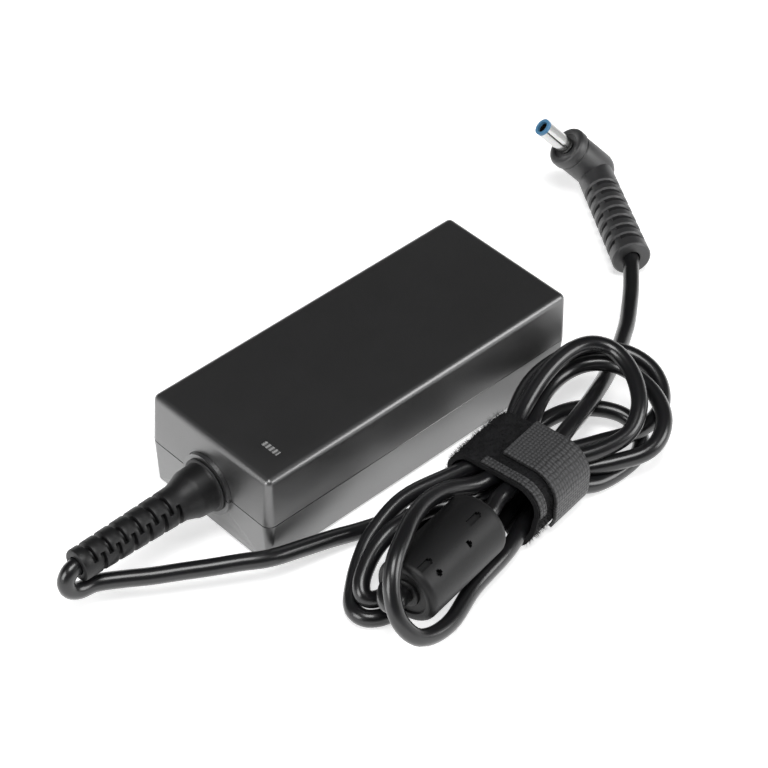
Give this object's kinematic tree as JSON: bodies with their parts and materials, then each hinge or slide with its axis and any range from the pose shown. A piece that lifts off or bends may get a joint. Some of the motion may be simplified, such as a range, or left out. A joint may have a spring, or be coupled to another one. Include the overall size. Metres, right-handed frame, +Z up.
{
  "type": "laptop power adapter",
  "caption": "Slim black laptop power adapter with its DC cord folded into a tied hank, a ferrite bead and an angled barrel plug.",
  "frame": {"origin": "middle of the underside of the case, on the surface the adapter stands on", "axes": "+X along the case from the DC cord's end to the mains inlet, +Y away from the folded cord, +Z up"},
  "size_m": [0.2016, 0.1002, 0.0265],
  "materials": {
    "case_shell": "fine grain, near black",
    "case_base": "fine grain, near black",
    "indicator": "clear light pipe",
    "led": "clear dome",
    "board": "green solder mask",
    "sheet": "insulating card",
    "inlet": "smooth black",
    "contacts": "bright nickel plate",
    "fuse": "smooth tube",
    "choke": "enamelled wire on a ring",
    "film_cap": "yellow box",
    "chips": "moulded package",
    "can": "sleeved can",
    "heat_sink": "plain sheet",
    "core": "sintered ferrite",
    "winding": "enamelled copper wire",
    "opto": "white package",
    "leads": "insulated wire",
    "sleeve": "moulded, satin",
    "cord": "smooth flexible PVC, glossy",
    "bead": "moulded, semi-gloss",
    "tie_inside": "hook-and-loop tape, loop side",
    "tie_outside": "hook-and-loop tape, hook side",
    "barrel": "nickel plate",
    "ring": "blue",
    "plug_core": "black",
    "centre_pin": "plated"
  },
  "bodies": {
    "adapter": {"upper_case": "case_shell", "lower_case": "case_base", "indicator_window": "indicator", "status_led": "led", "circuit_board": "board", "insulating_sheet": "sheet", "inlet_housing": "inlet", "line_contact": "contacts", "neutral_contact": "contacts", "earth_contact": "contacts", "fuse": "fuse", "line_filter_choke": "choke", "suppression_capacitor": "film_cap", "bridge_rectifier": "chips", "switching_transistor": "chips", "output_rectifier": "chips", "bulk_capacitor": "can", "output_capacitors": "can", "primary_heat_sink": "heat_sink", "secondary_heat_sink": "heat_sink", "transformer_winding": "winding", "optocoupler": "opto", "output_leads": "leads", "transformer_core": "core", "strain_relief": "sleeve", "cord_lead": "cord", "cord_hank": "cord", "cord_bead_turn": "cord", "cord_in_bead": "cord", "cord_bead_exit": "cord", "cord_tail": "cord", "ferrite_cover": "bead", "ferrite_core": "core", "tie_wrap": "tie_inside", "plug_grip": "sleeve", "plug_barrel": "barrel", "plug_ring": "ring", "plug_insulator": "plug_core", "plug_centre_contact": "centre_pin"},
    "tab": {"tie_flap": "tie_outside"}
  },
  "joints": [
    {"name": "tab_peel", "type": "hinge", "parent": "adapter", "child": "tab", "pos_m": [0.01075, -0.05348, 0.003], "axis": [0.9903, 0.1392, 0], "range_deg": [0, 80]}
  ]
}
